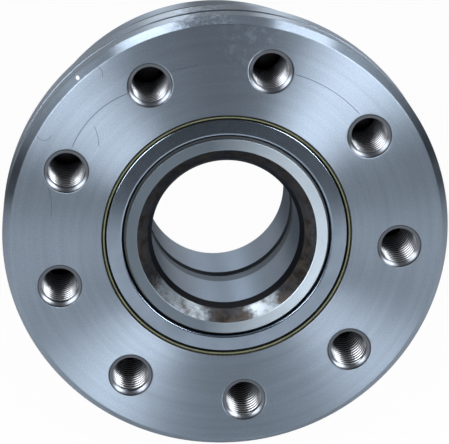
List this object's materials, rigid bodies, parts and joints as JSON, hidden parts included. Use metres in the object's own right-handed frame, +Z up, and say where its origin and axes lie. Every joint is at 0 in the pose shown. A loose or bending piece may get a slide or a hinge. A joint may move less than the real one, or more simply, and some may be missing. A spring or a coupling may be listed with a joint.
{
  "type": "wheel hub bearing",
  "caption": "Flanged wheel hub bearing with tapped flange holes, two rows of tapered rollers, two inner rings, cages and end seals; the flanged ring turns on a fixed axle bore.",
  "frame": {"origin": "centre of the bolt circle, in the plane of the flange's front face", "axes": "+Y along the spin axis, from the flange face inboard towards the vehicle; +Z up; +X to the right when the flange face is looked at"},
  "size_m": [0.18, 0.0838, 0.18],
  "materials": {
    "turned_steel": "turned, with dark forged body",
    "ground_steel": "ground",
    "pressed_steel": "pressed, fine grain",
    "olive_bead": "satin",
    "black_rubber": "matte",
    "bearing_steel": "polished"
  },
  "bodies": {
    "inner": {"front_inner_ring": "ground_steel", "rear_inner_ring": "ground_steel", "coupling_ring": "pressed_steel", "front_slinger": "pressed_steel", "rear_slinger": "pressed_steel"},
    "hub": {"outer_ring": "turned_steel", "front_seal_case": "pressed_steel", "front_seal_bead": "olive_bead", "front_seal_lip": "black_rubber", "rear_seal_case": "pressed_steel", "rear_seal_bead": "olive_bead", "rear_seal_lip": "black_rubber"},
    "front_cage": {"front_cage": "pressed_steel"},
    "rear_cage": {"rear_cage": "pressed_steel"},
    "front_roller_01": {"front_roller_01": "bearing_steel"},
    "front_roller_02": {"front_roller_02": "bearing_steel"},
    "front_roller_03": {"front_roller_03": "bearing_steel"},
    "front_roller_04": {"front_roller_04": "bearing_steel"},
    "front_roller_05": {"front_roller_05": "bearing_steel"},
    "front_roller_06": {"front_roller_06": "bearing_steel"},
    "front_roller_07": {"front_roller_07": "bearing_steel"},
    "front_roller_08": {"front_roller_08": "bearing_steel"},
    "front_roller_09": {"front_roller_09": "bearing_steel"},
    "front_roller_10": {"front_roller_10": "bearing_steel"},
    "front_roller_11": {"front_roller_11": "bearing_steel"},
    "front_roller_12": {"front_roller_12": "bearing_steel"},
    "front_roller_13": {"front_roller_13": "bearing_steel"},
    "front_roller_14": {"front_roller_14": "bearing_steel"},
    "front_roller_15": {"front_roller_15": "bearing_steel"},
    "front_roller_16": {"front_roller_16": "bearing_steel"},
    "rear_roller_01": {"rear_roller_01": "bearing_steel"},
    "rear_roller_02": {"rear_roller_02": "bearing_steel"},
    "rear_roller_03": {"rear_roller_03": "bearing_steel"},
    "rear_roller_04": {"rear_roller_04": "bearing_steel"},
    "rear_roller_05": {"rear_roller_05": "bearing_steel"},
    "rear_roller_06": {"rear_roller_06": "bearing_steel"},
    "rear_roller_07": {"rear_roller_07": "bearing_steel"},
    "rear_roller_08": {"rear_roller_08": "bearing_steel"},
    "rear_roller_09": {"rear_roller_09": "bearing_steel"},
    "rear_roller_10": {"rear_roller_10": "bearing_steel"},
    "rear_roller_11": {"rear_roller_11": "bearing_steel"},
    "rear_roller_12": {"rear_roller_12": "bearing_steel"},
    "rear_roller_13": {"rear_roller_13": "bearing_steel"},
    "rear_roller_14": {"rear_roller_14": "bearing_steel"},
    "rear_roller_15": {"rear_roller_15": "bearing_steel"},
    "rear_roller_16": {"rear_roller_16": "bearing_steel"}
  },
  "joints": [
    {"name": "hub_spin", "type": "hinge", "parent": "inner", "child": "hub", "pos_m": [0, 0, 0], "axis": [0, 1, 0], "continuous": true},
    {"name": "front_cage_spin", "type": "hinge", "parent": "inner", "child": "front_cage", "pos_m": [0, 0, 0], "axis": [0, 1, 0], "continuous": true},
    {"name": "front_roller_01_spin", "type": "hinge", "parent": "front_cage", "child": "front_roller_01", "pos_m": [0.0433, 0.0125, 0], "axis": [-0.1994, 0.9799, 0], "continuous": true},
    {"name": "front_roller_02_spin", "type": "hinge", "parent": "front_cage", "child": "front_roller_02", "pos_m": [0.04, 0.0125, 0.01657], "axis": [-0.1842, 0.9799, -0.0763], "continuous": true},
    {"name": "front_roller_03_spin", "type": "hinge", "parent": "front_cage", "child": "front_roller_03", "pos_m": [0.03062, 0.0125, 0.03062], "axis": [-0.141, 0.9799, -0.141], "continuous": true},
    {"name": "front_roller_04_spin", "type": "hinge", "parent": "front_cage", "child": "front_roller_04", "pos_m": [0.01657, 0.0125, 0.04], "axis": [-0.0763, 0.9799, -0.1842], "continuous": true},
    {"name": "front_roller_05_spin", "type": "hinge", "parent": "front_cage", "child": "front_roller_05", "pos_m": [0, 0.0125, 0.0433], "axis": [0, 0.9799, -0.1994], "continuous": true},
    {"name": "front_roller_06_spin", "type": "hinge", "parent": "front_cage", "child": "front_roller_06", "pos_m": [-0.01657, 0.0125, 0.04], "axis": [0.0763, 0.9799, -0.1842], "continuous": true},
    {"name": "front_roller_07_spin", "type": "hinge", "parent": "front_cage", "child": "front_roller_07", "pos_m": [-0.03062, 0.0125, 0.03062], "axis": [0.141, 0.9799, -0.141], "continuous": true},
    {"name": "front_roller_08_spin", "type": "hinge", "parent": "front_cage", "child": "front_roller_08", "pos_m": [-0.04, 0.0125, 0.01657], "axis": [0.1842, 0.9799, -0.0763], "continuous": true},
    {"name": "front_roller_09_spin", "type": "hinge", "parent": "front_cage", "child": "front_roller_09", "pos_m": [-0.0433, 0.0125, 0], "axis": [0.1994, 0.9799, 0], "continuous": true},
    {"name": "front_roller_10_spin", "type": "hinge", "parent": "front_cage", "child": "front_roller_10", "pos_m": [-0.04, 0.0125, -0.01657], "axis": [0.1842, 0.9799, 0.0763], "continuous": true},
    {"name": "front_roller_11_spin", "type": "hinge", "parent": "front_cage", "child": "front_roller_11", "pos_m": [-0.03062, 0.0125, -0.03062], "axis": [0.141, 0.9799, 0.141], "continuous": true},
    {"name": "front_roller_12_spin", "type": "hinge", "parent": "front_cage", "child": "front_roller_12", "pos_m": [-0.01657, 0.0125, -0.04], "axis": [0.0763, 0.9799, 0.1842], "continuous": true},
    {"name": "front_roller_13_spin", "type": "hinge", "parent": "front_cage", "child": "front_roller_13", "pos_m": [0, 0.0125, -0.0433], "axis": [0, 0.9799, 0.1994], "continuous": true},
    {"name": "front_roller_14_spin", "type": "hinge", "parent": "front_cage", "child": "front_roller_14", "pos_m": [0.01657, 0.0125, -0.04], "axis": [-0.0763, 0.9799, 0.1842], "continuous": true},
    {"name": "front_roller_15_spin", "type": "hinge", "parent": "front_cage", "child": "front_roller_15", "pos_m": [0.03062, 0.0125, -0.03062], "axis": [-0.141, 0.9799, 0.141], "continuous": true},
    {"name": "front_roller_16_spin", "type": "hinge", "parent": "front_cage", "child": "front_roller_16", "pos_m": [0.04, 0.0125, -0.01657], "axis": [-0.1842, 0.9799, 0.0763], "continuous": true},
    {"name": "rear_cage_spin", "type": "hinge", "parent": "inner", "child": "rear_cage", "pos_m": [0, 0, 0], "axis": [0, 1, 0], "continuous": true},
    {"name": "rear_roller_01_spin", "type": "hinge", "parent": "rear_cage", "child": "rear_roller_01", "pos_m": [0.0433, 0.0703, 0], "axis": [0.1994, 0.9799, 0], "continuous": true},
    {"name": "rear_roller_02_spin", "type": "hinge", "parent": "rear_cage", "child": "rear_roller_02", "pos_m": [0.04, 0.0703, 0.01657], "axis": [0.1842, 0.9799, 0.0763], "continuous": true},
    {"name": "rear_roller_03_spin", "type": "hinge", "parent": "rear_cage", "child": "rear_roller_03", "pos_m": [0.03062, 0.0703, 0.03062], "axis": [0.141, 0.9799, 0.141], "continuous": true},
    {"name": "rear_roller_04_spin", "type": "hinge", "parent": "rear_cage", "child": "rear_roller_04", "pos_m": [0.01657, 0.0703, 0.04], "axis": [0.0763, 0.9799, 0.1842], "continuous": true},
    {"name": "rear_roller_05_spin", "type": "hinge", "parent": "rear_cage", "child": "rear_roller_05", "pos_m": [0, 0.0703, 0.0433], "axis": [0, 0.9799, 0.1994], "continuous": true},
    {"name": "rear_roller_06_spin", "type": "hinge", "parent": "rear_cage", "child": "rear_roller_06", "pos_m": [-0.01657, 0.0703, 0.04], "axis": [-0.0763, 0.9799, 0.1842], "continuous": true},
    {"name": "rear_roller_07_spin", "type": "hinge", "parent": "rear_cage", "child": "rear_roller_07", "pos_m": [-0.03062, 0.0703, 0.03062], "axis": [-0.141, 0.9799, 0.141], "continuous": true},
    {"name": "rear_roller_08_spin", "type": "hinge", "parent": "rear_cage", "child": "rear_roller_08", "pos_m": [-0.04, 0.0703, 0.01657], "axis": [-0.1842, 0.9799, 0.0763], "continuous": true},
    {"name": "rear_roller_09_spin", "type": "hinge", "parent": "rear_cage", "child": "rear_roller_09", "pos_m": [-0.0433, 0.0703, 0], "axis": [-0.1994, 0.9799, 0], "continuous": true},
    {"name": "rear_roller_10_spin", "type": "hinge", "parent": "rear_cage", "child": "rear_roller_10", "pos_m": [-0.04, 0.0703, -0.01657], "axis": [-0.1842, 0.9799, -0.0763], "continuous": true},
    {"name": "rear_roller_11_spin", "type": "hinge", "parent": "rear_cage", "child": "rear_roller_11", "pos_m": [-0.03062, 0.0703, -0.03062], "axis": [-0.141, 0.9799, -0.141], "continuous": true},
    {"name": "rear_roller_12_spin", "type": "hinge", "parent": "rear_cage", "child": "rear_roller_12", "pos_m": [-0.01657, 0.0703, -0.04], "axis": [-0.0763, 0.9799, -0.1842], "continuous": true},
    {"name": "rear_roller_13_spin", "type": "hinge", "parent": "rear_cage", "child": "rear_roller_13", "pos_m": [0, 0.0703, -0.0433], "axis": [0, 0.9799, -0.1994], "continuous": true},
    {"name": "rear_roller_14_spin", "type": "hinge", "parent": "rear_cage", "child": "rear_roller_14", "pos_m": [0.01657, 0.0703, -0.04], "axis": [0.0763, 0.9799, -0.1842], "continuous": true},
    {"name": "rear_roller_15_spin", "type": "hinge", "parent": "rear_cage", "child": "rear_roller_15", "pos_m": [0.03062, 0.0703, -0.03062], "axis": [0.141, 0.9799, -0.141], "continuous": true},
    {"name": "rear_roller_16_spin", "type": "hinge", "parent": "rear_cage", "child": "rear_roller_16", "pos_m": [0.04, 0.0703, -0.01657], "axis": [0.1842, 0.9799, -0.0763], "continuous": true}
  ],
  "couplings": [
    {"joint": "front_cage_spin", "follows": "hub_spin", "ratio": 0.56676},
    {"joint": "front_roller_01_spin", "follows": "hub_spin", "ratio": 3.6041},
    {"joint": "front_roller_02_spin", "follows": "hub_spin", "ratio": 3.6041},
    {"joint": "front_roller_03_spin", "follows": "hub_spin", "ratio": 3.6041},
    {"joint": "front_roller_04_spin", "follows": "hub_spin", "ratio": 3.6041},
    {"joint": "front_roller_05_spin", "follows": "hub_spin", "ratio": 3.6041},
    {"joint": "front_roller_06_spin", "follows": "hub_spin", "ratio": 3.6041},
    {"joint": "front_roller_07_spin", "follows": "hub_spin", "ratio": 3.6041},
    {"joint": "front_roller_08_spin", "follows": "hub_spin", "ratio": 3.6041},
    {"joint": "front_roller_09_spin", "follows": "hub_spin", "ratio": 3.6041},
    {"joint": "front_roller_10_spin", "follows": "hub_spin", "ratio": 3.6041},
    {"joint": "front_roller_11_spin", "follows": "hub_spin", "ratio": 3.6041},
    {"joint": "front_roller_12_spin", "follows": "hub_spin", "ratio": 3.6041},
    {"joint": "front_roller_13_spin", "follows": "hub_spin", "ratio": 3.6041},
    {"joint": "front_roller_14_spin", "follows": "hub_spin", "ratio": 3.6041},
    {"joint": "front_roller_15_spin", "follows": "hub_spin", "ratio": 3.6041},
    {"joint": "front_roller_16_spin", "follows": "hub_spin", "ratio": 3.6041},
    {"joint": "rear_cage_spin", "follows": "hub_spin", "ratio": 0.56676},
    {"joint": "rear_roller_01_spin", "follows": "hub_spin", "ratio": 3.6041},
    {"joint": "rear_roller_02_spin", "follows": "hub_spin", "ratio": 3.6041},
    {"joint": "rear_roller_03_spin", "follows": "hub_spin", "ratio": 3.6041},
    {"joint": "rear_roller_04_spin", "follows": "hub_spin", "ratio": 3.6041},
    {"joint": "rear_roller_05_spin", "follows": "hub_spin", "ratio": 3.6041},
    {"joint": "rear_roller_06_spin", "follows": "hub_spin", "ratio": 3.6041},
    {"joint": "rear_roller_07_spin", "follows": "hub_spin", "ratio": 3.6041},
    {"joint": "rear_roller_08_spin", "follows": "hub_spin", "ratio": 3.6041},
    {"joint": "rear_roller_09_spin", "follows": "hub_spin", "ratio": 3.6041},
    {"joint": "rear_roller_10_spin", "follows": "hub_spin", "ratio": 3.6041},
    {"joint": "rear_roller_11_spin", "follows": "hub_spin", "ratio": 3.6041},
    {"joint": "rear_roller_12_spin", "follows": "hub_spin", "ratio": 3.6041},
    {"joint": "rear_roller_13_spin", "follows": "hub_spin", "ratio": 3.6041},
    {"joint": "rear_roller_14_spin", "follows": "hub_spin", "ratio": 3.6041},
    {"joint": "rear_roller_15_spin", "follows": "hub_spin", "ratio": 3.6041},
    {"joint": "rear_roller_16_spin", "follows": "hub_spin", "ratio": 3.6041}
  ]
}
